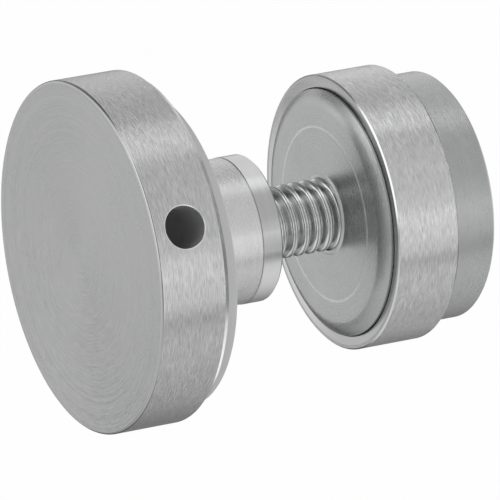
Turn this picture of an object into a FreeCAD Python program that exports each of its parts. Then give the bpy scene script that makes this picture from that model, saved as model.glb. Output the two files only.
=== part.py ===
import FreeCAD, Part
import os
import Sketcher

# Fixed glass panel bracket: a front cap with a boss, which screws along a stud in a rear body.
# Row frame: origin at the centre of the rear body's wall face, +Y into the wall, +Z up, front towards -Y.
# Every piece is turned. Its profile is drawn in its own frame, with height measured from the wall side.

doc = FreeCAD.newDocument("glass_panel_bracket")

# Driving dimensions in millimetres, with one angle in degrees
driving = [
    ("cap_diameter", 38.1),
    ("cap_thickness", 8.13),
    ("cap_front_chamfer", 0.3),
    ("cap_back_chamfer", 0.57),
    ("cap_back_chamfer_length", 0.68),
    ("boss_diameter", 15.875),
    ("boss_length", 12.17),
    ("boss_end_length", 2.4),
    ("boss_end_rise", 0.05),
    ("boss_line_width", 0.1),
    ("boss_line_depth", 0.05),
    ("boss_edge_chamfer", 0.25),
    ("bore_front_wall", 1.9),
    ("bore_point", 2.4),
    ("bore_mouth_chamfer", 0.5),
    ("tommy_diameter", 4.5),
    ("tommy_depth", 10.0),
    ("tommy_inset", 3.725),
    ("tommy_edge_break", 0.15),
    ("tommy_angle", 26.0),
    ("gasket_inset", 2.05),
    ("gasket_thickness", 1.77),
    ("gasket_bore_clearance", 0.7),
    ("gasket_hang_gap", 0.06),
    ("gasket_seat_gap", 0.05),
    ("thread_diameter", 7.9375),
    ("thread_pitch", 1.4111),
    ("thread_clearance", 0.06),
    ("stud_engagement", 5.2),
    ("stud_seat", 7.9),
    ("stud_seat_clearance", 0.02),
    ("stud_end_chamfer", 0.6),
    ("open_gap", 9.2),
    ("body_diameter", 27.0),
    ("body_length", 13.5),
    ("body_edge_radius", 0.15),
    ("body_back_chamfer", 0.3),
    ("body_mouth_chamfer", 0.5),
    ("face_line_inset", 3.95),
    ("face_line_width", 0.3),
    ("face_line_depth", 0.1),
    ("face_crown_width", 1.8),
    ("face_crown_drop", 0.8),
    ("collar_width", 0.53),
    ("collar_height", 0.2),
    ("collar_bevel", 0.1),
    ("sleeve_set_back", 0.9),
    ("sleeve_wall", 1.35),
    ("sleeve_length", 7.4),
    ("sleeve_clearance", 0.15),
    ("sleeve_outer_chamfer", 0.25),
    ("sleeve_inner_chamfer", 0.1),
]
sizes = doc.addObject("Spreadsheet::Sheet", "sizes")
for row, (alias, value) in enumerate(driving, 1):
    sizes.set(f"A{row}", alias)
    sizes.set(f"B{row}", str(value))
    sizes.setAlias(f"B{row}", alias)
doc.recompute()

# Radii and heights that several pieces share, as expressions on the sheet
cap_r = "sizes.cap_diameter / 2"
boss_r = "sizes.boss_diameter / 2"
boss_end_r = f"{boss_r} + sizes.boss_end_rise"
boss_line_r = f"{boss_r} - sizes.boss_line_depth"
boss_line_top = "sizes.boss_end_length + sizes.boss_line_width"
cap_top = "sizes.boss_length + sizes.cap_thickness"
bore_r = "sizes.thread_diameter / 2 + sizes.thread_clearance"
bore_tip = f"{cap_top} - sizes.bore_front_wall"
tommy_height = f"{cap_top} - sizes.tommy_inset"
boss_end_height = "sizes.body_length + sizes.open_gap"
cap_back_height = f"{boss_end_height} + sizes.boss_length"
gasket_r = f"{cap_r} - sizes.gasket_inset"
gasket_bore_r = f"{boss_r} + sizes.gasket_bore_clearance"
stud_r = "sizes.thread_diameter / 2"
stud_end_r = f"{stud_r} - sizes.stud_end_chamfer"
stud_length = "sizes.stud_seat + sizes.open_gap + sizes.stud_engagement"
stud_foot = "sizes.body_length - sizes.stud_seat"
stud_hole_r = f"{stud_r} + sizes.stud_seat_clearance"
tap_drill_r = "(sizes.thread_diameter - sizes.thread_pitch) / 2"
body_r = "sizes.body_diameter / 2"
body_edge_height = "sizes.body_length - sizes.face_crown_drop"
line_r = f"{body_r} - sizes.face_line_inset"
collar_r = f"{stud_r} + sizes.collar_width"
collar_top = "sizes.body_length + sizes.collar_height"
sleeve_bore_r = f"{body_r} + sizes.sleeve_clearance"
sleeve_r = f"{sleeve_bore_r} + sizes.sleeve_wall"

# How closely an edge must match a place to be the one that is meant
edge_tolerance = 0.001


def value_of(expression):
    return float(sizes.evalExpression(expression))


def origin_plane(body, role):
    return next(feature for feature in body.Origin.OriginFeatures if feature.Role == role)


def set_distance(sketch, kind, edge, end, name, expression):
    # one coordinate of a point: on the axis where it is zero, else a named distance from the origin
    if expression == "0":
        axis_line = -2 if kind == "DistanceX" else -1
        sketch.addConstraint(Sketcher.Constraint("PointOnObject", edge, end, axis_line))
        return
    place = value_of(expression)
    index = sketch.addConstraint(Sketcher.Constraint(kind, -1, 1, edge, end, place))
    sketch.renameConstraint(index, name)
    sketch.setExpression(f"Constraints.{name}", expression)


def turned_piece(label, outline):
    # a closed outline of (radius, height) expressions, turned about the piece's own Z axis
    body = doc.addObject("PartDesign::Body", label)
    body.Label = label
    sketch = body.newObject("Sketcher::SketchObject", f"{label}_profile")
    sketch.AttachmentSupport = [(origin_plane(body, "XZ_Plane"), "")]
    sketch.MapMode = "FlatFace"
    points = [FreeCAD.Vector(value_of(radius), value_of(height), 0) for radius, height in outline]
    count = len(points)
    for i in range(count):
        sketch.addGeometry(Part.LineSegment(points[i], points[(i + 1) % count]), False)
    for i in range(count):
        sketch.addConstraint(Sketcher.Constraint("Coincident", i, 2, (i + 1) % count, 1))
    for i, (radius, height) in enumerate(outline):
        set_distance(sketch, "DistanceX", i, 1, f"radius_{i}", radius)
        set_distance(sketch, "DistanceY", i, 1, f"height_{i}", height)
    turn = body.newObject("PartDesign::Revolution", f"{label}_turn")
    turn.Profile = sketch
    turn.ReferenceAxis = (sketch, ["V_Axis"])
    turn.Angle = 360
    doc.recompute()
    return body


def place_piece(body, height, spin="0", rise="0"):
    # the piece's Z axis points to the front, along -Y of the row frame
    body.Placement = FreeCAD.Placement(
        FreeCAD.Vector(0, 0, 0),
        FreeCAD.Rotation(FreeCAD.Vector(1, 0, 0), 90)
        * FreeCAD.Rotation(FreeCAD.Vector(0, 0, 1), value_of(spin)),
    )
    body.setExpression(".Placement.Base.y", f"-({height})")
    body.setExpression(".Placement.Base.z", rise)


def round_edges(shape, radius, height):
    # names of the round edges of that radius whose centre lies at that height on the axis
    found = []
    for i, edge in enumerate(shape.Edges, 1):
        if not isinstance(edge.Curve, Part.Circle):
            continue
        same_radius = abs(edge.Curve.Radius - radius) < edge_tolerance
        if same_radius and abs(edge.Curve.Center.z - height) < edge_tolerance:
            found.append(f"Edge{i}")
    return found


# Front cap: disc and boss in one piece, with a blind bore for the stud
cap = turned_piece("front_cap", [
    ("0", bore_tip),
    (bore_r, f"{bore_tip} - sizes.bore_point"),
    (bore_r, "sizes.bore_mouth_chamfer"),
    (f"{bore_r} + sizes.bore_mouth_chamfer", "0"),
    (f"{boss_end_r} - sizes.boss_edge_chamfer", "0"),
    (boss_end_r, "sizes.boss_edge_chamfer"),
    (boss_end_r, "sizes.boss_end_length"),
    (boss_line_r, "sizes.boss_end_length"),
    (boss_line_r, boss_line_top),
    (boss_r, boss_line_top),
    (boss_r, "sizes.boss_length"),
    (f"{cap_r} - sizes.cap_back_chamfer", "sizes.boss_length"),
    (cap_r, "sizes.boss_length + sizes.cap_back_chamfer_length"),
    (cap_r, f"{cap_top} - sizes.cap_front_chamfer"),
    (f"{cap_r} - sizes.cap_front_chamfer", cap_top),
    ("0", cap_top),
])

# Tommy hole: a plain radial hole in the disc's rim, along the piece's own X axis
hole_sketch = cap.newObject("Sketcher::SketchObject", "tommy_profile")
hole_sketch.AttachmentSupport = [(origin_plane(cap, "YZ_Plane"), "")]
hole_sketch.MapMode = "FlatFace"
hole_sketch.setExpression(".AttachmentOffset.Base.z", cap_r)
hole_centre = FreeCAD.Vector(0, value_of(tommy_height), 0)
hole_circle = Part.Circle(hole_centre, FreeCAD.Vector(0, 0, 1), value_of("sizes.tommy_diameter / 2"))
hole_sketch.addGeometry(hole_circle, False)
set_distance(hole_sketch, "DistanceX", 0, 3, "across", "0")
set_distance(hole_sketch, "DistanceY", 0, 3, "height", tommy_height)
width = hole_sketch.addConstraint(Sketcher.Constraint("Diameter", 0, value_of("sizes.tommy_diameter")))
hole_sketch.renameConstraint(width, "width")
hole_sketch.setExpression("Constraints.width", "sizes.tommy_diameter")
doc.recompute()
solid_volume = cap.Shape.Volume
tommy = cap.newObject("PartDesign::Pocket", "tommy_hole")
tommy.Profile = hole_sketch
tommy.Type = "Length"
tommy.setExpression("Length", "sizes.tommy_depth")
doc.recompute()
if cap.Shape.Volume >= solid_volume:
    raise RuntimeError("the tommy hole cut nothing")

# The hole's mouth is the one edge that reaches the rim, lies wholly outside the boss and has the hole's width
mouth = []
for i, edge in enumerate(cap.Shape.Edges, 1):
    box = edge.BoundBox
    on_rim = box.XMin > value_of(boss_end_r) and box.XMax > value_of(cap_r) - edge_tolerance
    if on_rim and abs(box.ZLength - value_of("sizes.tommy_diameter")) < edge_tolerance:
        mouth.append(f"Edge{i}")
edge_break = cap.newObject("PartDesign::Chamfer", "tommy_edge_break")
edge_break.Base = (tommy, mouth)
edge_break.setExpression("Size", "sizes.tommy_edge_break")
doc.recompute()
place_piece(cap, boss_end_height, spin="sizes.tommy_angle")

# Front gasket: a washer that hangs on the boss by its loose hole, just clear of the disc
gasket = turned_piece("front_gasket", [
    (gasket_bore_r, "0"),
    (gasket_r, "0"),
    (gasket_r, "sizes.gasket_thickness"),
    (gasket_bore_r, "sizes.gasket_thickness"),
])
place_piece(
    gasket,
    f"{cap_back_height} - sizes.gasket_seat_gap - sizes.gasket_thickness",
    rise="sizes.gasket_hang_gap - sizes.gasket_bore_clearance",
)

# Threaded stud: its crests as a plain cylinder with chamfered ends
stud = turned_piece("threaded_stud", [
    ("0", "0"),
    (stud_end_r, "0"),
    (stud_r, "sizes.stud_end_chamfer"),
    (stud_r, f"{stud_length} - sizes.stud_end_chamfer"),
    (stud_end_r, stud_length),
    ("0", stud_length),
])
place_piece(stud, stud_foot)

# Rear body: stud hole in front, tap drill hole behind it, collar and a fine turned line on the face,
# which falls away a little towards its edge
rear = turned_piece("rear_body", [
    (f"{tap_drill_r} + sizes.body_mouth_chamfer", "0"),
    (f"{body_r} - sizes.body_back_chamfer", "0"),
    (body_r, "sizes.body_back_chamfer"),
    (body_r, body_edge_height),
    (f"{body_r} - sizes.face_crown_width", "sizes.body_length"),
    (f"{line_r} + sizes.face_line_width / 2", "sizes.body_length"),
    (line_r, "sizes.body_length - sizes.face_line_depth"),
    (f"{line_r} - sizes.face_line_width / 2", "sizes.body_length"),
    (collar_r, "sizes.body_length"),
    (f"{collar_r} - sizes.collar_bevel", collar_top),
    (stud_hole_r, collar_top),
    (stud_hole_r, stud_foot),
    (tap_drill_r, stud_foot),
    (tap_drill_r, "sizes.body_mouth_chamfer"),
])
rear_turn = rear.Tip
front_edge = round_edges(rear.Shape, value_of(body_r), value_of(body_edge_height))
front_round = rear.newObject("PartDesign::Fillet", "front_round")
front_round.Base = (rear_turn, front_edge)
front_round.setExpression("Radius", "sizes.body_edge_radius")
doc.recompute()
place_piece(rear, "0")

# Cover sleeve: slides on the rear body, with its front edge a little behind the body's face
sleeve = turned_piece("cover_sleeve", [
    (f"{sleeve_bore_r} + sizes.sleeve_inner_chamfer", "0"),
    (f"{sleeve_r} - sizes.sleeve_outer_chamfer", "0"),
    (sleeve_r, "sizes.sleeve_outer_chamfer"),
    (sleeve_r, "sizes.sleeve_length - sizes.sleeve_outer_chamfer"),
    (f"{sleeve_r} - sizes.sleeve_outer_chamfer", "sizes.sleeve_length"),
    (f"{sleeve_bore_r} + sizes.sleeve_inner_chamfer", "sizes.sleeve_length"),
    (sleeve_bore_r, "sizes.sleeve_length - sizes.sleeve_inner_chamfer"),
    (sleeve_bore_r, "sizes.sleeve_inner_chamfer"),
])
place_piece(sleeve, "sizes.body_length - sizes.sleeve_set_back - sizes.sleeve_length")

doc.recompute()
for item in doc.Objects:
    if "Invalid" in item.State or "Error" in item.State:
        raise RuntimeError(f"{item.Name} did not build: {item.State}")
pieces = [cap, gasket, stud, rear, sleeve]
for piece in pieces:
    if piece.Shape.isNull() or not piece.Shape.isValid() or len(piece.Shape.Solids) != 1:
        raise RuntimeError(f"{piece.Label} is not one valid solid")
os.makedirs("parts", exist_ok=True)
for piece in pieces:
    piece.Shape.exportStep(f"parts/{piece.Label}.step")
    box = piece.Shape.BoundBox
    print(f"{piece.Label}: volume {piece.Shape.Volume:.1f}, y {box.YMin:.2f} to {box.YMax:.2f}")
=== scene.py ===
import math

import bpy
import numpy as np
from mathutils import Matrix, Vector


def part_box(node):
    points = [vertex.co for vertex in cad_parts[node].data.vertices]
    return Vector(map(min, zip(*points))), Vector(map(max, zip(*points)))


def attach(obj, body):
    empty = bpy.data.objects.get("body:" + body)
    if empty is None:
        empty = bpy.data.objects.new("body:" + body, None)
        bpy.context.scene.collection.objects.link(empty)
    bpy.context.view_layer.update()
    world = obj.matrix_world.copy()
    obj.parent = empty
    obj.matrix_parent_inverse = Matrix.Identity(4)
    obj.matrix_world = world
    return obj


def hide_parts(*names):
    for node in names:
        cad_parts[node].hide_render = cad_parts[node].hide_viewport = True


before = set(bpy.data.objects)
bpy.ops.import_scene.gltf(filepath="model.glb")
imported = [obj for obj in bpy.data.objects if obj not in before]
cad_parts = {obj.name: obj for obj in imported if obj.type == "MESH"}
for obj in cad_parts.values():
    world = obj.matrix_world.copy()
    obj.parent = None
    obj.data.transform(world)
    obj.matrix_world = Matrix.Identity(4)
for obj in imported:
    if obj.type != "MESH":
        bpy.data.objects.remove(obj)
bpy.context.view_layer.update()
mm = 0.001
fullTurn = 2 * math.pi
print("frame loaded:", sorted(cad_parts))

# Every piece is turned about the Y axis. y grows towards the wall, the front is at low y.
capLow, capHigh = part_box("front_cap")
gasketLow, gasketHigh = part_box("front_gasket")
studLow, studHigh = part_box("threaded_stud")
bodyLow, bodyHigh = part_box("rear_body")
sleeveLow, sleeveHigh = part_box("cover_sleeve")


def halfWidth(low, high):
    return (high.x - low.x) / 2


# Shader wires

class Wire:
    # one socket of a node tree: sums, products and powers of wires add Math nodes
    def __init__(self, tree, socket=None):
        self.tree = tree
        self.socket = socket

    def add(self, kind, settings=None, inputs=None, out=0):
        # any node: its settings first, then a value or a wire for each socket, by name or number;
        # out is one output, or a tuple of outputs that gives a list of wires
        node = self.tree.nodes.new(kind)
        for name, value in (settings or {}).items():
            if name == "stops":
                self.setStops(node.color_ramp, value)
            else:
                setattr(node, name, value)
        for key, value in (inputs or {}).items():
            if isinstance(value, Wire):
                self.tree.links.new(value.socket, node.inputs[key])
            else:
                node.inputs[key].default_value = value
        if isinstance(out, tuple):
            return [Wire(self.tree, node.outputs[key]) for key in out]
        return Wire(self.tree, node.outputs[out]) if len(node.outputs) else node

    def setStops(self, ramp, stops):
        # grey stops of a ramp, as (place, value) pairs
        for place, value in stops[1:-1]:
            ramp.elements.new(place)
        for element, (place, value) in zip(ramp.elements, stops):
            element.position = place
            element.color = (value, value, value, 1)

    def math(self, operation, *values):
        return self.add("ShaderNodeMath", {"operation": operation}, dict(enumerate(values)))

    def vector(self, operation, *values):
        return self.add("ShaderNodeVectorMath", {"operation": operation}, dict(enumerate(values)))

    def __add__(self, other):
        return self.math("ADD", self, other)

    def __sub__(self, other):
        return self.math("SUBTRACT", self, other)

    def __rsub__(self, other):
        return self.math("SUBTRACT", other, self)

    def __mul__(self, other):
        return self.math("MULTIPLY", self, other)

    def __truediv__(self, other):
        return self.math("DIVIDE", self, other)

    def __rtruediv__(self, other):
        return self.math("DIVIDE", other, self)

    def __pow__(self, other):
        return self.math("POWER", self, other)

    def __rpow__(self, other):
        return self.math("POWER", other, self)

    __radd__ = __add__
    __rmul__ = __mul__


noiseMiddle = 0.5  # the mean of a noise
noiseRoughness = 0.55


def newMaterial(name):
    material = bpy.data.materials.new(name)
    material.use_nodes = True
    material.node_tree.nodes.clear()
    return material, Wire(material.node_tree)


def joined(x, y, z):
    wire = next(part for part in (x, y, z) if isinstance(part, Wire))
    return wire.add("ShaderNodeCombineXYZ", None, {0: x, 1: y, 2: z})


def splitAxes(place):
    return place.add("ShaderNodeSeparateXYZ", None, {0: place}, ("X", "Y", "Z"))


def scaled(vector, factor):
    # socket 3 of Vector Math is its scale
    return vector.add("ShaderNodeVectorMath", {"operation": "SCALE"}, {0: vector, 3: factor})


def noise(place, detail):
    return place.add("ShaderNodeTexNoise", {"noise_dimensions": "3D"},
                     {"Vector": place, "Scale": 1.0, "Detail": detail, "Roughness": noiseRoughness})


def tinted(factor, dark, light):
    # sockets 6 and 7 and output 2 are the Mix node's colours
    return factor.add("ShaderNodeMix", {"data_type": "RGBA"}, {0: factor, 6: (*dark, 1), 7: (*light, 1)}, 2)


# how finely each kind of mark is broken up, and the length of a ring before it changes
toolMarks = {"fineDetail": 2.0, "streakDetail": 1.0, "ringDetail": 1.0, "cloudDetail": 2.0,
             "ringLength": 60 * mm}


def steelFinish(name, look):
    # Satin steel with tool lines round the axis: a noise that is fine across the lines and longer along them
    # tilts the normal across the lines only, which spreads reflections the way brushed metal does.
    # across = radius + y, which grows both along a rim and over a face.
    # Rings are whole circles, streaks are short strokes, clouds are blotches.
    material, start = newMaterial(name)
    place, normal = start.add("ShaderNodeTexCoord", out=("Object", "Normal"))
    x, y, z = splitAxes(place)
    across = (x * x + z * z) ** 0.5 + y

    def lines(width, length, detail):
        return noise(joined(across / width, x / length, z / length), detail) - noiseMiddle

    fine = lines(look["lineWidth"], look["lineLength"], toolMarks["fineDetail"])
    streak = lines(look["streakWidth"], look["streakLength"], toolMarks["streakDetail"])
    ring = lines(look["ringWidth"], toolMarks["ringLength"], toolMarks["ringDetail"])
    cloud = noise(scaled(place, 1 / look["cloudSize"]), toolMarks["cloudDetail"]) - noiseMiddle
    slope = fine * look["fineSlope"] + streak * look["streakSlope"] + ring * look["ringSlope"]
    sideways = joined(z * -1, 0.0, x)
    around = sideways.vector("NORMALIZE", sideways)
    tilt = scaled(normal.vector("CROSS_PRODUCT", normal, around), slope)
    tilted = normal.vector("NORMALIZE", normal.vector("ADD", normal, tilt))
    facing = tilted.add("ShaderNodeVectorTransform",
                        {"vector_type": "NORMAL", "convert_from": "OBJECT", "convert_to": "WORLD"},
                        {0: tilted})
    shade = streak * look["streakShade"] + ring * look["ringShade"] + cloud * look["cloudShade"] + 0.5
    rough = (streak + cloud) * look["roughVary"] + look["rough"]
    shader = start.add("ShaderNodeBsdfPrincipled", None, {
        "Base Color": tinted(shade, look["dark"], look["light"]), "Metallic": 1.0, "Roughness": rough,
        "Normal": facing})
    start.add("ShaderNodeOutputMaterial", None, {0: shader})
    return material


# Turned surfaces

arcStep = math.radians(15)  # the widest step on a rounded corner
leastArcs = 2
poleRadius = 1e-6 * mm  # rows closer to the axis than this are one point


def unit(vector):
    return vector / np.linalg.norm(vector)


def roundedPath(corners, closed):
    # Outline of (radius, y, round, finish, steps) corners, with the arc's own finish as a sixth value where
    # it differs from that of the stretch after it. Each corner becomes an arc that touches both of its
    # stretches: centre + round * normal, with the normal turned evenly from one stretch to the next.
    # A corner with no round is one row with the middle normal, for a curve given by its points.
    # The stretch after a corner has as many parts as its steps.
    # Returns rows of radius, y, normal's radius part, normal's y part and finish.
    points = np.array([corner[:2] for corner in corners], float)
    count = len(corners)
    blocks = []
    for i, (bend, finish, steps, *arcFinish) in enumerate(corner[2:] for corner in corners):
        here, following = points[i], points[(i + 1) % count]
        if not closed and i in (0, count - 1):
            ahead = unit(following - here) if i == 0 else unit(here - points[i - 1])
            arms = np.array([[ahead[1], -ahead[0]]])
            spots = here[None]
        else:
            before, after = unit(here - points[i - 1]), unit(following - here)
            turn = math.atan2(before[0] * after[1] - before[1] * after[0], before @ after)
            side = math.copysign(1, turn)
            reach = bend * math.tan(abs(turn) / 2)
            centre = here - before * reach - side * bend * np.array([before[1], -before[0]])
            arcs = max(leastArcs, math.ceil(abs(turn) / arcStep))
            bends = np.linspace(0, turn, arcs + 1) if bend else np.array([turn / 2])
            angles = math.atan2(-before[0], before[1]) + bends
            arms = np.stack([np.cos(angles), np.sin(angles)], -1)
            spots = centre + side * bend * arms
        finishes = np.full(len(arms), arcFinish[0] if arcFinish else finish)
        finishes[-1] = finish
        blocks.append(np.column_stack([spots, arms, finishes]))
        parts = np.arange(1, steps)[:, None] / steps
        stretch = here + (following - here) * parts
        evenArms = np.tile(arms[-1], (steps - 1, 1))
        blocks.append(np.column_stack([stretch, evenArms, np.full(steps - 1, finish)]))
    return np.vstack(blocks)


def turnedGrid(path, closed, columns, startAngle=0.0):
    # The path carried round the Y axis: x = radius cos a, z = radius sin a, on a grid of rows and angles.
    # Returns vertices, normals, a table of vertex numbers by row and column, and quads by row and column.
    angles = startAngle + np.arange(columns) * fullTurn / columns
    radius, y, normalR, normalY = (path[:, k, None] for k in range(4))
    cos, sin = np.cos(angles)[None], np.sin(angles)[None]
    level = np.ones_like(cos)
    vertices = np.stack([radius * cos, y * level, radius * sin], -1)
    normals = np.stack([normalR * cos, normalY * level, normalR * sin], -1)
    rowCount = len(path)
    numbers = np.arange(rowCount * columns).reshape(rowCount, columns)
    pole = path[:, 0] < poleRadius
    numbers[pole] = numbers[pole][:, :1]
    rows = np.arange(rowCount if closed else rowCount - 1)
    nextRows = (rows + 1) % rowCount
    nextColumns = (np.arange(columns) + 1) % columns
    quads = np.stack([numbers[rows], numbers[nextRows], numbers[nextRows][:, nextColumns],
                      numbers[rows][:, nextColumns]], -1)
    return vertices.reshape(-1, 3), normals.reshape(-1, 3), numbers, quads


def newPiece(name, vertices, normals, quads, finishes, materials, flatCount=0):
    # A mesh from quads: one with two equal corners becomes a triangle, one with fewer than three no face.
    # Unused vertices are left out. The last quads, as many as flatCount says, are shaded flat.
    used, quads = np.unique(quads, return_inverse=True)
    quads = quads.reshape(-1, 4)
    distinct = quads != np.roll(quads, 1, axis=1)
    kept = np.flatnonzero(distinct.sum(1) > 2)
    corners = quads[kept][distinct[kept]]
    totals = distinct[kept].sum(1)
    mesh = bpy.data.meshes.new(name)
    mesh.vertices.add(len(used))
    mesh.vertices.foreach_set("co", vertices[used].astype(np.float32).ravel())
    mesh.loops.add(len(corners))
    mesh.loops.foreach_set("vertex_index", corners.astype(np.int32))
    mesh.polygons.add(len(kept))
    mesh.polygons.foreach_set("loop_start", (np.cumsum(totals) - totals).astype(np.int32))
    for material in materials:
        mesh.materials.append(material)
    mesh.polygons.foreach_set("material_index", np.asarray(finishes, np.int32)[kept])
    mesh.polygons.foreach_set("use_smooth", kept < len(quads) - flatCount)
    mesh.update(calc_edges=True)
    if normals is not None:
        mesh.normals_split_custom_set_from_vertices(normals[used].tolist())
    piece = bpy.data.objects.new(name, mesh)
    bpy.context.scene.collection.objects.link(piece)
    return piece


def turnedPiece(name, corners, materials, columns, drop=0.0):
    # a closed outline turned about the Y axis, or about a line at the height of drop
    path = roundedPath(corners, True)
    vertices, normals, numbers, quads = turnedGrid(path, True, columns)
    vertices = vertices + np.array([0.0, 0.0, drop])
    finishes = np.repeat(path[:, 4].astype(int), columns)
    return newPiece(name, vertices, normals, quads.reshape(-1, 4), finishes, materials)


def settle(piece, node, body):
    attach(piece, body)
    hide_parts(node)
    print(piece.name, "stands for", node, "with", len(piece.data.polygons), "faces")


# Steel finishes, sizes in metres: the fine lines of a brush and of a lathe tool, and no rings

brushLines = {"lineWidth": 0.005 * mm, "lineLength": 0.015 * mm}
latheLines = {"lineWidth": 0.02 * mm, "lineLength": 0.06 * mm}
noRings = {"ringWidth": 0.3 * mm, "ringSlope": 0.0, "ringShade": 0.0}

turnedFace = steelFinish("turnedFace", {
    **brushLines, "fineSlope": 1.5,
    "streakWidth": 0.1 * mm, "streakLength": 1.5 * mm, "streakSlope": 0.25, "streakShade": 1.2,
    "ringWidth": 0.16 * mm, "ringSlope": 0.12, "ringShade": 1.4,
    "cloudSize": 9 * mm, "cloudShade": 0.5, "rough": 0.3, "roughVary": 0.12,
    "dark": (0.42, 0.427, 0.424), "light": (0.53, 0.536, 0.532)})
brushedRim = steelFinish("brushedRim", {
    **brushLines, "fineSlope": 2.0,
    "streakWidth": 0.08 * mm, "streakLength": 1.0 * mm, "streakSlope": 0.15, "streakShade": 2.2,
    "ringWidth": 0.4 * mm, "ringSlope": 0.05, "ringShade": 0.2,
    "cloudSize": 7 * mm, "cloudShade": 0.3, "rough": 0.22, "roughVary": 0.12,
    "dark": (0.43, 0.434, 0.432), "light": (0.64, 0.644, 0.642)})
# The sleeve: the rim's brushed steel in a lighter copy, painted light for the brighter highlight on the
# sleeve
brushedSleevePaintedLight = steelFinish("brushedSleevePaintedLight", {
    **brushLines, "fineSlope": 2.0,
    "streakWidth": 0.08 * mm, "streakLength": 1.0 * mm, "streakSlope": 0.15, "streakShade": 2.2,
    "ringWidth": 0.4 * mm, "ringSlope": 0.05, "ringShade": 0.2,
    "cloudSize": 7 * mm, "cloudShade": 0.3, "rough": 0.21, "roughVary": 0.12,
    "dark": (0.47, 0.474, 0.472), "light": (0.7, 0.704, 0.702)})
brushedBoss = steelFinish("brushedBoss", {
    **brushLines, "fineSlope": 2.0,
    "streakWidth": 0.2 * mm, "streakLength": 2.5 * mm, "streakSlope": 0.12, "streakShade": 0.6,
    "ringWidth": 0.4 * mm, "ringSlope": 0.05, "ringShade": 0.2,
    "cloudSize": 3 * mm, "cloudShade": 0.6, "rough": 0.27, "roughVary": 0.1,
    "dark": (0.6, 0.604, 0.602), "light": (0.72, 0.724, 0.722)})
smoothTurned = steelFinish("smoothTurned", {
    **latheLines, "fineSlope": 0.2,
    "streakWidth": 0.3 * mm, "streakLength": 4 * mm, "streakSlope": 0.06, "streakShade": 0.4,
    "ringWidth": 0.3 * mm, "ringSlope": 0.05, "ringShade": 0.3,
    "cloudSize": 3 * mm, "cloudShade": 0.5, "rough": 0.2, "roughVary": 0.1,
    "dark": (0.5, 0.505, 0.502), "light": (0.58, 0.585, 0.582)})
# Edges: a lighter copy of the steel, a painted highlight along chamfers and broken edges
edgePaintedHighlight = steelFinish("edgePaintedHighlight", {
    **latheLines, "fineSlope": 0.2,
    "streakWidth": 0.2 * mm, "streakLength": 3 * mm, "streakSlope": 0.05, "streakShade": 0.4,
    "ringWidth": 0.3 * mm, "ringSlope": 0.0, "ringShade": 0.2,
    "cloudSize": 3 * mm, "cloudShade": 0.5, "rough": 0.16, "roughVary": 0.08,
    "dark": (0.72, 0.725, 0.722), "light": (0.82, 0.825, 0.822)})
seatFace = steelFinish("seatFace", {
    **latheLines, "fineSlope": 0.8,
    "streakWidth": 0.15 * mm, "streakLength": 1.5 * mm, "streakSlope": 0.12, "streakShade": 0.5,
    "ringWidth": 0.35 * mm, "ringSlope": 0.1, "ringShade": 0.4,
    "cloudSize": 4 * mm, "cloudShade": 0.9, "rough": 0.28, "roughVary": 0.14,
    "dark": (0.44, 0.448, 0.444), "light": (0.55, 0.558, 0.554)})
fineBase = steelFinish("fineBase", {
    **latheLines, "fineSlope": 1.0,
    "streakWidth": 0.15 * mm, "streakLength": 1.5 * mm, "streakSlope": 0.1, "streakShade": 0.6,
    "ringWidth": 0.3 * mm, "ringSlope": 0.05, "ringShade": 0.4,
    "cloudSize": 5 * mm, "cloudShade": 0.6, "rough": 0.28, "roughVary": 0.1,
    "dark": (0.39, 0.398, 0.394), "light": (0.47, 0.478, 0.474)})
# Thread crests: a much lighter copy of the steel, a painted highlight along each crest
threadCrestPaintedHighlight = steelFinish("threadCrestPaintedHighlight", {
    **latheLines, **noRings, "fineSlope": 0.2,
    "streakWidth": 0.2 * mm, "streakLength": 1.5 * mm, "streakSlope": 0.04, "streakShade": 0.3,
    "cloudSize": 1.2 * mm, "cloudShade": 0.6, "rough": 0.14, "roughVary": 0.1,
    "dark": (0.78, 0.79, 0.785), "light": (0.93, 0.94, 0.935)})
# Thread flanks, the fold in each crest and the stud's ends: a darker copy of the steel, painted shade in the
# valleys and in the fold
threadPaintedShade = steelFinish("threadPaintedShade", {
    **latheLines, **noRings, "fineSlope": 0.3,
    "streakWidth": 0.2 * mm, "streakLength": 1.5 * mm, "streakSlope": 0.08, "streakShade": 0.7,
    "cloudSize": 1.2 * mm, "cloudShade": 0.9, "rough": 0.22, "roughVary": 0.1,
    "dark": (0.46, 0.472, 0.466), "light": (0.6, 0.612, 0.606)})
# The collar and the scribed ring: a much lighter copy of the steel, a painted highlight
collarAndLinePaintedHighlight = steelFinish("collarAndLinePaintedHighlight", {
    **latheLines, **noRings, "fineSlope": 0.9,
    "streakWidth": 0.2 * mm, "streakLength": 2 * mm, "streakSlope": 0.1, "streakShade": 0.8,
    "cloudSize": 3 * mm, "cloudShade": 0.9, "rough": 0.55, "roughVary": 0.1,
    "dark": (0.72, 0.728, 0.724), "light": (0.88, 0.888, 0.884)})
drilledWall = steelFinish("drilledWall", {
    **latheLines, **noRings, "fineSlope": 0.5,
    "streakWidth": 0.2 * mm, "streakLength": 2 * mm, "streakSlope": 0.2, "streakShade": 0.8,
    "cloudSize": 2 * mm, "cloudShade": 0.6, "rough": 0.62, "roughVary": 0.1,
    "dark": (0.55, 0.556, 0.553), "light": (0.68, 0.688, 0.684)})
print("steel finishes made")


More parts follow.
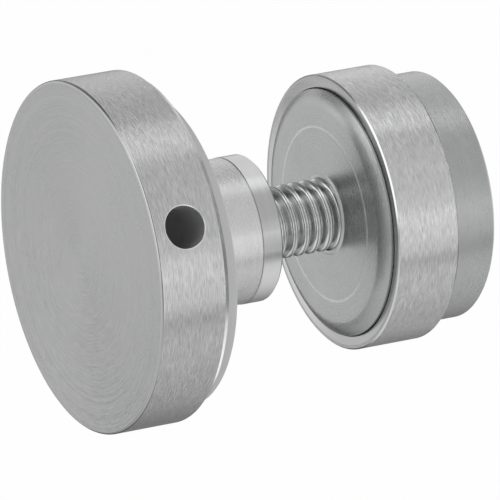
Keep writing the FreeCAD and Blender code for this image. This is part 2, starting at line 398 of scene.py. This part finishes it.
def washerPlastic(name, look):
    # plain grey plastic with a faint mottle and a fine grain in the surface
    material, start = newMaterial(name)
    place = start.add("ShaderNodeTexCoord", out="Object")
    mottle = noise(scaled(place, 1 / look["mottle"]), look["mottleDetail"])
    grain = noise(scaled(place, 1 / look["grain"]), look["grainDetail"])
    rough = (mottle - noiseMiddle) * look["roughVary"] + look["rough"]
    bump = grain.add("ShaderNodeBump", None, {
        "Height": grain, "Strength": look["grainStrength"], "Distance": look["grainDepth"]})
    shader = start.add("ShaderNodeBsdfPrincipled", None, {
        "Base Color": tinted(mottle, look["dark"], look["light"]), "Roughness": rough, "Normal": bump})
    start.add("ShaderNodeOutputMaterial", None, {0: shader})
    return material


greyPlastic = washerPlastic("greyPlastic", {
    "mottle": 4 * mm, "mottleDetail": 3.0, "rough": 0.5, "roughVary": 0.2,
    "grain": 0.12 * mm, "grainDetail": 2.0, "grainDepth": 0.02 * mm, "grainStrength": 0.15,
    "dark": (0.6, 0.608, 0.604), "light": (0.68, 0.688, 0.684)})

# Front cap: disc, boss with a fine line before its smooth end, blind bore, and the tommy hole in the rim

capSizes = {
    "thickness": 8.13 * mm, "frontRound": 0.3 * mm, "edgeRound": 0.06 * mm, "tinyRound": 0.02 * mm,
    "backChamfer": 0.57 * mm, "backChamferLength": 0.68 * mm,
    "bossRadius": 7.9375 * mm, "bossEndLength": 2.4 * mm, "bossEndRise": 0.05 * mm, "bossChamfer": 0.25 * mm,
    "lineWidth": 0.07 * mm, "lineDepth": 0.025 * mm,
    "boreClearance": 0.06 * mm, "boreMouth": 0.5 * mm, "frontWall": 1.9 * mm, "borePoint": 2.4 * mm,
    "holeRadius": 2.25 * mm, "holeDepth": 10.0 * mm, "holeBreak": 0.15 * mm, "holeInset": 3.725 * mm,
    "holeAngle": math.radians(26),
    # rings round the hole, as shares of the way in from the window, and rows over the hole's broken edge
    "holeRings": (0.35, 0.7, 0.9), "breakRows": 7,
    "columns": 384, "rimRows": 20, "windowHalfColumns": 10, "windowMargin": 1}
# capEdge is the lighter edge copy: a painted highlight on the disc's back chamfer and on the tommy hole's
# broken edge
capSteels = [turnedFace, brushedRim, smoothTurned, drilledWall, edgePaintedHighlight, brushedBoss]
capFace, capRim, capSmooth, capHole, capEdge, capBoss = range(len(capSteels))


def capOutline(sizes):
    # from the middle of the front face over the rim, the back and the boss into the tip of the bore
    rim = halfWidth(capLow, capHigh)
    front, end = capLow.y, capHigh.y
    back = front + sizes["thickness"]
    boss = sizes["bossRadius"]
    bossEnd = boss + sizes["bossEndRise"]
    step = end - sizes["bossEndLength"]
    bore = halfWidth(studLow, studHigh) + sizes["boreClearance"]
    tip = front + sizes["frontWall"]
    edge, tiny = sizes["edgeRound"], sizes["tinyRound"]
    return [
        (0, front, 0, capFace, 1),
        (rim, front, sizes["frontRound"], capRim, sizes["rimRows"], capSmooth),
        # the back chamfer takes the lighter edge copy, a painted highlight
        (rim, back - sizes["backChamferLength"], edge, capEdge, 1),
        (rim - sizes["backChamfer"], back, edge, capFace, 1),
        (boss, back, edge, capBoss, 1),
        (boss, step - sizes["lineWidth"], tiny, capSmooth, 1),
        (boss - sizes["lineDepth"], step - sizes["lineWidth"], tiny, capSmooth, 1),
        (boss - sizes["lineDepth"], step, tiny, capSmooth, 1),
        (bossEnd, step, tiny, capSmooth, 1),
        (bossEnd, end - sizes["bossChamfer"], edge, capSmooth, 1),
        (bossEnd - sizes["bossChamfer"], end, edge, capSmooth, 1),
        (bore + sizes["boreMouth"], end, edge, capSmooth, 1),
        (bore, end - sizes["boreMouth"], edge, capSmooth, 1),
        (bore, tip + sizes["borePoint"], edge, capSmooth, 1),
        (0, tip, 0, capSmooth, 1),
    ]


def tommyPatch(sizes, vertices, normals, loop, rim, middle):
    # The rim round the hole as rings, from the window's edge loop in to the hole's rounded mouth, down its
    # wall and over its floor. In the plane across the hole a ring's point is (p, q), p round the rim and
    # q along y: the rim stands at sqrt(rim^2 - p^2) on the hole's axis, and the mouth sinks below it by
    # its round.
    cos, sin = math.cos(sizes["holeAngle"]), math.sin(sizes["holeAngle"])
    outward, sideways, along = np.array([[cos, 0, sin], [-sin, 0, cos], [0, 1, 0]])
    p0, q0 = vertices[loop] @ sideways, vertices[loop] @ along - middle
    angle = np.arctan2(q0, p0)
    rayP, rayQ = np.cos(angle), np.sin(angle)
    toHole = -np.outer(rayP, sideways) - np.outer(rayQ, along)
    radius, soft = sizes["holeRadius"], sizes["holeBreak"]
    floor = rim - sizes["holeDepth"]
    count = len(loop)

    def ringSpots(height, p, q):
        return np.outer(height, outward) + np.outer(p, sideways) + np.outer(q + middle, along)

    mouth = [(np.hypot(p0, q0) * (1 - share) + (radius + soft) * share, 0.0, 0.0)
             for share in sizes["holeRings"]]
    mouth += [(radius + soft * (1 - math.sin(bend)), soft * (1 - math.cos(bend)), bend)
              for bend in np.linspace(0, math.pi / 2, sizes["breakRows"])]
    below = [(floor + soft, radius, toHole), (floor, radius - soft, outward), (floor, 0, outward)]
    spots, facings = [], []
    for reach, sink, bend in mouth:
        p, q = rayP * reach, rayQ * reach
        height = np.sqrt(rim ** 2 - p ** 2)
        onRim = (np.outer(height, outward) + np.outer(p, sideways)) / rim
        spots.append(ringSpots(height - sink, p, q))
        facings.append(onRim * math.cos(bend) + toHole * math.sin(bend))
    for height, reach, facing in below:
        spots.append(ringSpots(np.full(count, height), rayP * reach, rayQ * reach))
        facings.append(np.broadcast_to(facing, (count, 3)))
    numbers = len(vertices) + np.arange(len(spots) * count).reshape(-1, count)
    numbers[-1] = numbers[-1, 0]
    numbers = np.vstack([loop[None], numbers])
    turned = np.roll(numbers, -1, axis=1)
    quads = np.stack([numbers[:-1], numbers[1:], turned[1:], turned[:-1]], -1).reshape(-1, 4)
    onRimRows, breakRows = len(sizes["holeRings"]) + 1, sizes["breakRows"] - 1
    # the hole's broken edge takes the lighter edge copy, a painted highlight
    finishes = [capRim] * onRimRows + [capEdge] * breakRows + [capHole] * len(below)
    return np.vstack([vertices, *spots]), np.vstack([normals, *facings]), quads, np.repeat(finishes, count)


def frontCap(sizes):
    # the turned outline, with a window in the rim that the patch round the tommy hole fills
    rim = halfWidth(capLow, capHigh)
    path = roundedPath(capOutline(sizes), False)
    columns, half, margin = sizes["columns"], sizes["windowHalfColumns"], sizes["windowMargin"]
    startAngle = sizes["holeAngle"] - half * fullTurn / columns
    vertices, normals, numbers, quads = turnedGrid(path, False, columns, startAngle)
    rimRows = np.flatnonzero(np.isclose(path[:, 0], rim) & (path[:, 4] == capRim))
    top, bottom = rimRows[margin], rimRows[-1 - margin]
    finishes = np.repeat(path[:len(quads), 4].astype(int)[:, None], columns, 1)
    window = np.zeros(quads.shape[:2], bool)
    window[top:bottom, :2 * half] = True
    loop = np.concatenate([numbers[top, :2 * half], numbers[top:bottom, 2 * half],
                           numbers[bottom, 2 * half:0:-1], numbers[bottom:top:-1, 0]])
    middle = capLow.y + sizes["holeInset"]
    vertices, normals, patch, patchFinishes = tommyPatch(sizes, vertices, normals, loop, rim, middle)
    quads = np.vstack([quads[~window], patch])
    finishes = np.concatenate([finishes[~window], patchFinishes])
    return newPiece("frontCapTurned", vertices, normals, quads, finishes, capSteels)


settle(frontCap(capSizes), "front_cap", "cap")

# Gasket: a plain washer that hangs on the boss

gasketSizes = {"bore": 8.6375 * mm, "edgeRound": 0.12 * mm, "columns": 256}


def frontGasket(sizes):
    # a square section with rounded edges, turned about the washer's own middle
    outer, bore = halfWidth(gasketLow, gasketHigh), sizes["bore"]
    front, back = gasketLow.y, gasketHigh.y
    square = [(bore, front), (outer, front), (outer, back), (bore, back)]
    outline = [(radius, y, sizes["edgeRound"], 0, 1) for radius, y in square]
    drop = (gasketLow.z + gasketHigh.z) / 2
    return turnedPiece("frontGasketWasher", outline, [greyPlastic], sizes["columns"], drop)


settle(frontGasket(gasketSizes), "front_gasket", "gasket")

# Rear body: collar round the stud, a scribed ring on the seat face, a face that curves away at its edge,
# a smooth base and a tapped hole from the back

bodySizes = {
    "length": 13.5 * mm, "frontRound": 0.08 * mm, "backChamfer": 0.3 * mm,
    "edgeRound": 0.06 * mm, "tinyRound": 0.02 * mm,
    "crownWidth": 1.8 * mm, "crownDrop": 0.8 * mm, "crownPower": 1.75, "crownRows": 16,
    "lineInset": 3.95 * mm, "lineWidth": 0.3 * mm, "lineDepth": 0.03 * mm,
    "collarWidth": 0.53 * mm, "collarBevel": 0.25 * mm,
    "seatClearance": 0.02 * mm, "tapRadius": 3.2632 * mm, "mouth": 0.5 * mm, "columns": 320}


def rearBody(sizes):
    outer = halfWidth(bodyLow, bodyHigh)
    face, back = bodyHigh.y - sizes["length"], bodyHigh.y
    collarTop = bodyLow.y
    stud = halfWidth(studLow, studHigh)
    seat, collar = stud + sizes["seatClearance"], stud + sizes["collarWidth"]
    tap, foot = sizes["tapRadius"], studHigh.y
    line, half = outer - sizes["lineInset"], sizes["lineWidth"] / 2
    # the face falls away towards its edge: drop = crown drop * (share of the crown's width)^power
    share = np.linspace(0, 1, sizes["crownRows"], endpoint=False)
    crown = zip(outer - sizes["crownWidth"] * (1 - share),
                face + sizes["crownDrop"] * share ** sizes["crownPower"])
    edge, tiny = sizes["edgeRound"], sizes["tinyRound"]
    steels = [seatFace, fineBase, collarAndLinePaintedHighlight]
    seatPart, basePart, scribed = range(len(steels))
    outline = [
        # the collar's top and bevel and the scribed ring take the lighter copy, a painted highlight
        (seat, collarTop, tiny, scribed, 1),
        (collar - sizes["collarBevel"], collarTop, edge, scribed, 1),
        (collar, face, tiny, seatPart, 1),
        (line - half, face, tiny, scribed, 1),
        (line, face + sizes["lineDepth"], tiny, scribed, 1),
        (line + half, face, tiny, seatPart, 1),
        *[(radius, y, 0, seatPart, 1) for radius, y in crown],
        (outer, face + sizes["crownDrop"], sizes["frontRound"], basePart, 1),
        (outer, back - sizes["backChamfer"], edge, basePart, 1),
        (outer - sizes["backChamfer"], back, edge, basePart, 1),
        (tap + sizes["mouth"], back, edge, basePart, 1),
        (tap, back - sizes["mouth"], edge, basePart, 1),
        (tap, foot, tiny, basePart, 1),
        (seat, foot, tiny, basePart, 1),
    ]
    return turnedPiece("rearBodyTurned", outline, steels, sizes["columns"])


settle(rearBody(bodySizes), "rear_body", "base")

# Cover sleeve: a brushed ring whose front lip is dished towards its bore

sleeveSizes = {
    "bore": 13.6 * mm, "frontChamfer": 0.16 * mm, "backChamfer": 0.25 * mm, "innerChamfer": 0.05 * mm,
    "lipWidth": 0.9 * mm, "lipDepth": 0.19 * mm, "edgeRound": 0.06 * mm, "tinyRound": 0.02 * mm,
    "columns": 320}


def coverSleeve(sizes):
    # from the dished lip out over the front edge, along the brushed outside and back through the bore
    outer, bore = halfWidth(sleeveLow, sleeveHigh), sizes["bore"]
    front, back = sleeveLow.y, sleeveHigh.y
    frontCut, backCut, innerCut = sizes["frontChamfer"], sizes["backChamfer"], sizes["innerChamfer"]
    edge, tiny = sizes["edgeRound"], sizes["tinyRound"]
    steels = [turnedFace, brushedSleevePaintedLight, smoothTurned, edgePaintedHighlight]
    face, brushed, smooth, bright = range(len(steels))
    outline = [
        (bore + sizes["lipWidth"], front, tiny, face, 1),
        # the front chamfer takes the lighter edge copy, a painted highlight
        (outer - frontCut, front, tiny, bright, 1),
        (outer, front + frontCut, tiny, brushed, 1),
        (outer, back - backCut, edge, brushed, 1),
        (outer - backCut, back, edge, face, 1),
        (bore + innerCut, back, tiny, smooth, 1),
        (bore, back - innerCut, tiny, smooth, 1),
        (bore, front + sizes["lipDepth"], tiny, smooth, 1),
    ]
    return turnedPiece("coverSleeveTurned", outline, steels, sizes["columns"])


settle(coverSleeve(sleeveSizes), "cover_sleeve", "sleeve")

# Stud: a right-hand rolled thread, cut off square with a chamfer at both ends

studSizes = {
    "pitch": 1.4111 * mm, "depth": 0.74 * mm, "crest": 0.46 * mm, "flank": math.radians(30),
    "edgeRound": 0.07 * mm, "foldDepth": 0.12 * mm, "foldWidth": 0.08 * mm, "endChamfer": 0.6 * mm,
    "phase": 0.22, "spareTurns": 3, "columns": 160,
    # rows over half a pitch, as distances from the middle of the crest
    "rows": np.array([0, 0.045, 0.08, 0.11, 0.15, 0.18, 0.2, 0.22, 0.24, 0.27, 0.33, 0.45, 0.57, 0.64]) * mm}


def threadedStud(sizes):
    # y = start + pitch * (row + phase - angle / turn), so rows follow the helix and a turn shifts by a pitch.
    # radius = crest radius less the drop of the flank, which starts at half a crest from the crest's middle:
    # drop = (d + sqrt(d^2 + round^2)) / 2 / tan(flank), held at the thread's depth. Rolling leaves a fold
    # along the middle of the crest: a bell curve of its own depth and width is added to the drop.
    outer = halfWidth(studLow, studHigh)
    start, end = studLow.y, studHigh.y
    pitch, columns = sizes["pitch"], sizes["columns"]
    half = sizes["rows"] / pitch
    shares = np.concatenate([half, [0.5], 1 - half[:0:-1]])
    perPitch = len(shares)
    turnsNeeded = math.ceil((end - start) / pitch) + sizes["spareTurns"]
    steps = (np.arange(turnsNeeded)[:, None] - 1 + shares[None]).reshape(-1, 1)
    rowCount = len(steps)
    around = np.arange(columns + 1)[None] / columns
    free = start + pitch * (steps + sizes["phase"] - around)
    y = np.clip(free, start, end)
    turns = (y - start) / pitch + around - sizes["phase"]
    fromCrest = np.abs((turns + 0.5) % 1 - 0.5) * pitch
    past = fromCrest - sizes["crest"] / 2
    drop = (past + np.sqrt(past ** 2 + sizes["edgeRound"] ** 2)) / 2 / math.tan(sizes["flank"])
    drop = drop + sizes["foldDepth"] * np.exp(-(fromCrest / sizes["foldWidth"]) ** 2)
    drop = np.minimum(drop, sizes["depth"])
    fromEnd = np.minimum(y - start, end - y)
    radius = np.minimum(outer - drop, outer - sizes["endChamfer"] + fromEnd)
    angles = around * fullTurn
    vertices = np.stack([radius * np.cos(angles), y, radius * np.sin(angles)], -1).reshape(-1, 3)
    # rows past an end are held at the last row before it, and the seam joins rows one pitch apart
    lowest = np.maximum((free < start).sum(0) - 1, 0)
    highest = np.minimum(rowCount - (free > end).sum(0), rowCount - 1)
    held = np.clip(np.arange(rowCount)[:, None], lowest[None], highest[None])
    numbers = np.arange(rowCount * (columns + 1)).reshape(rowCount, columns + 1)
    numbers = np.take_along_axis(numbers, held, 0)
    numbers[:, -1] = numbers[np.clip(np.arange(rowCount) - perPitch, 0, None), 0]
    quads = np.stack([numbers[:-1, :-1], numbers[1:, :-1], numbers[1:, 1:], numbers[:-1, 1:]], -1)
    # the flat ends, as triangles round a hub
    hubs = len(vertices) + np.arange(2)[:, None] * np.ones(columns, int)
    vertices = np.vstack([vertices, [[0, start, 0], [0, end, 0]]])
    startEnd = np.stack([hubs[0], hubs[0], numbers[0, :-1], numbers[0, 1:]], -1)
    wallEnd = np.stack([numbers[-1, 1:], numbers[-1, :-1], hubs[1], hubs[1]], -1)
    quads = np.vstack([quads.reshape(-1, 4), startEnd, wallEnd])
    middle = (steps[:-1, 0] + steps[1:, 0]) / 2
    apart = np.abs((middle + 0.5) % 1 - 0.5) * pitch
    steels = [threadCrestPaintedHighlight, threadPaintedShade]
    # painted shade: flank rows and the fold take the darker copy, crest rows the lighter copy as a painted
    # highlight
    paintedShadeRows = (apart > sizes["crest"] / 2 + sizes["edgeRound"]) | (apart < sizes["foldWidth"])
    endCount = len(startEnd) + len(wallEnd)
    finishes = np.concatenate([np.repeat(paintedShadeRows.astype(int), columns), np.ones(endCount, int)])
    return newPiece("threadedStudRolled", vertices, None, quads, finishes, steels, endCount)


settle(threadedStud(studSizes), "threaded_stud", "base")
print("pieces made")

# Studio: a tent of graded grey round the Y axis, a strip above, a box at the right, a panel at the left and
# a pale floor far below

studio = {
    "tentRadius": 0.6, "tentFront": -1.6, "tentBack": 1.6, "tentColumns": 128, "gain": 1.5,
    # brightness by angle round the axis, as (degrees from +X towards +Z, value)
    "wall": [(-180, 0.25), (-140, 0.1), (-102, 0.14), (-82, 0.26), (-62, 0.42), (-42, 0.68), (-22, 0.74),
             (17, 0.88), (37, 0.86), (57, 0.85), (77, 0.9), (97, 0.56), (117, 0.12), (137, 0.2), (157, 0.28),
             (180, 0.25)],
    # a band behind the bracket's middle, which the smooth lengths reflect
    "band": [(-180, 0.6), (-160, 0.25), (-140, 0.25), (-122, 0.4), (-102, 0.7), (-82, 1.0), (-62, 1.14),
             (-42, 1.06), (-30, 0.4), (-14, 0.12), (5, 0.34), (17, 0.86), (30, 0.66), (77, 0.66), (88, 1.15),
             (120, 1.15), (180, 0.9)],
    # the far front, which the rounded edges reflect
    "front": [(-180, 0.6), (-150, 0.55), (-130, 0.7), (-60, 0.75), (-12, 0.4), (2, 1.1), (12, 1.35),
              (130, 1.35), (148, 0.6), (180, 0.6)],
    # between the wall and the far front, dark where the rim side of a rounded edge reflects it
    "fore": [(-180, 0.25), (-150, 0.2), (-130, 0.5), (-102, 0.75), (-62, 0.75), (-22, 0.4), (0, 0.12),
             (60, 0.12), (77, 0.5), (97, 0.4), (117, 0.12), (137, 0.2), (157, 0.28), (180, 0.25)],
    # the far back, which the back chamfer of the disc reflects
    "back": [(-180, 0.65), (-166, 0.75), (-158, 1.1), (-132, 1.1), (-122, 0.3), (-102, 0.12), (-62, 0.42),
             (-22, 0.7), (17, 0.88), (57, 0.75), (97, 0.4), (117, 0.12), (150, 0.4), (180, 0.65)],
    # where along y one zone gives way to the next
    "frontEdges": (-0.54, -0.42), "foreEdges": (-0.2, -0.06), "bandEdges": (0.15, 0.21, 0.36, 0.44),
    "backEdges": (0.36, 0.44)}
# area lamps, each at an angle round the axis, with its size round and along the axis
lamps = {
    "stripAbove": {"angle": 88, "size": (0.2, 0.7), "distance": 0.45, "y": -0.15, "level": 0.42},
    "boxRight": {"angle": -6, "size": (0.32, 0.5), "distance": 0.5, "y": 0.12, "level": 0.54},
    "panelLeft": {"angle": -170, "size": (0.61, 0.78), "distance": 0.55, "y": -0.46, "level": 0.54}}
floorLook = {"drop": 1.4, "size": 16.0, "colour": (0.9, 0.9, 0.9), "whiteness": 0.97}
worldLevel = 0.7


def lightTent(look):
    # a cylinder round the Y axis that only reflections and soft light see
    angles = np.arange(look["tentColumns"]) * fullTurn / look["tentColumns"]
    ends = np.array([look["tentFront"], look["tentBack"]])
    ring = np.stack([np.cos(angles), np.zeros_like(angles), np.sin(angles)], -1) * look["tentRadius"]
    vertices = (ring[None] + ends[:, None, None] * np.array([0, 1.0, 0])).reshape(-1, 3)
    numbers = np.arange(len(vertices)).reshape(2, -1)
    turned = np.roll(numbers, -1, axis=1)
    quads = np.stack([numbers[0], turned[0], turned[1], numbers[1]], -1)
    material, start = newMaterial("tentWall")
    x, y, z = splitAxes(start.add("ShaderNodeTexCoord", out="Object"))
    share = z.math("ARCTAN2", z, x) / fullTurn + 0.5

    def graded(levels):
        # a ramp holds values up to 1, so levels are divided by the gain that the emission gives back
        stops = [((degrees + 180) / 360, value / look["gain"]) for degrees, value in levels]
        return share.add("ShaderNodeValToRGB", {"stops": stops}, {0: share})

    def rise(low, high):
        return y.add("ShaderNodeMapRange", {"interpolation_type": "SMOOTHSTEP"}, {0: y, 1: low, 2: high})

    bandLow, bandFull, bandFade, bandHigh = look["bandEdges"]
    wall, band = graded(look["wall"]), graded(look["band"])
    level = wall + (band - wall) * (rise(bandLow, bandFull) - rise(bandFade, bandHigh))
    front, fore, back = graded(look["front"]), graded(look["fore"]), graded(look["back"])
    level = fore + (level - fore) * rise(*look["foreEdges"])
    level = front + (level - front) * rise(*look["frontEdges"])
    level = level + (back - level) * rise(*look["backEdges"])
    shader = start.add("ShaderNodeEmission", None, {"Color": level, "Strength": look["gain"]})
    start.add("ShaderNodeOutputMaterial", None, {0: shader})
    tent = newPiece("lightTent", vertices, None, quads, np.zeros(len(quads), int), [material])
    tent.visible_camera = False
    tent.visible_shadow = False


def softbox(name, look):
    # an area lamp at an angle round the Y axis, facing the axis: power = level * pi * area
    light = bpy.data.lights.new(name, "AREA")
    light.shape = "RECTANGLE"
    light.size, light.size_y = look["size"]
    light.energy = look["level"] * math.pi * look["size"][0] * look["size"][1]
    lamp = bpy.data.objects.new(name, light)
    around = math.radians(look["angle"])
    away = Vector((math.cos(around), 0, math.sin(around)))
    along = Vector((0, 1, 0))
    turn = Matrix((along.cross(away), along, away)).transposed()
    lamp.matrix_world = Matrix.Translation(away * look["distance"] + along * look["y"]) @ turn.to_4x4()
    bpy.context.scene.collection.objects.link(lamp)


def whiteForView(start, other, whiteness=1.0):
    # white where the camera, a reflection or a glass path looks, the other shader for the rest
    camera, glossy, through = start.add(
        "ShaderNodeLightPath", out=("Is Camera Ray", "Is Glossy Ray", "Is Transmission Ray"))
    share = camera.math("MINIMUM", camera + glossy + through, 1.0) * whiteness
    white = start.add("ShaderNodeEmission", None, {"Color": (1, 1, 1, 1), "Strength": 1.0})
    return start.add("ShaderNodeMixShader", None, {0: share, 1: other, 2: white})


def paleFloor(look):
    # a level square below the bracket
    half, level = look["size"] / 2, -look["drop"]
    square = [(-half, -half), (half, -half), (half, half), (-half, half)]
    vertices = np.array([(x, y, level) for x, y in square])
    material, start = newMaterial("paleFloor")
    matt = start.add("ShaderNodeBsdfDiffuse", None, {"Color": (*look["colour"], 1)})
    start.add("ShaderNodeOutputMaterial", None, {0: whiteForView(start, matt, look["whiteness"])})
    floor = newPiece("paleFloor", vertices, None, np.array([[0, 1, 2, 3]]), [0], [material])


def whiteWorld(level):
    world = bpy.data.worlds.new("studioWorld")
    world.use_nodes = True
    world.node_tree.nodes.clear()
    start = Wire(world.node_tree)
    dim = start.add("ShaderNodeBackground", None, {"Color": (1, 1, 1, 1), "Strength": level})
    start.add("ShaderNodeOutputWorld", None, {0: whiteForView(start, dim)})
    bpy.context.scene.world = world


lightTent(studio)
for lampName, lampLook in lamps.items():
    softbox(lampName, lampLook)
paleFloor(floorLook)
whiteWorld(worldLevel)
bpy.context.scene.view_settings.view_transform = "Standard"
print("studio made")

# Camera: the photograph's angle, with the front face's centre at its place in the 500 pixel frame

shot = {"azimuth": 62.05, "elevation": 20.08, "focalPixels": 8250.0, "frame": 500.0, "sensor": 36.0,
        "depth": 0.8746, "facePixel": (79.81, 258.01), "near": 0.05, "far": 50.0}


def photoCamera(look):
    azimuth, elevation = math.radians(look["azimuth"]), math.radians(look["elevation"])
    right = Vector((math.cos(azimuth), math.sin(azimuth), 0))
    level = Vector((-math.sin(azimuth), math.cos(azimuth), 0))
    ahead = level * math.cos(elevation) - Vector((0, 0, math.sin(elevation)))
    up = right.cross(ahead)
    perPixel = look["depth"] / look["focalPixels"]
    across, down = [(pixel - look["frame"] / 2) * perPixel for pixel in look["facePixel"]]
    face = Vector((0, capLow.y, 0))
    data = bpy.data.cameras.new("photoCamera")
    data.sensor_width = look["sensor"]
    data.lens = look["focalPixels"] / look["frame"] * look["sensor"]
    data.clip_start, data.clip_end = look["near"], look["far"]
    camera = bpy.data.objects.new("photoCamera", data)
    turn = Matrix((right, up, -ahead)).transposed()
    spot = face - ahead * look["depth"] - right * across + up * down
    camera.matrix_world = Matrix.Translation(spot) @ turn.to_4x4()
    bpy.context.scene.collection.objects.link(camera)
    bpy.context.scene.camera = camera


photoCamera(shot)
print("camera made")
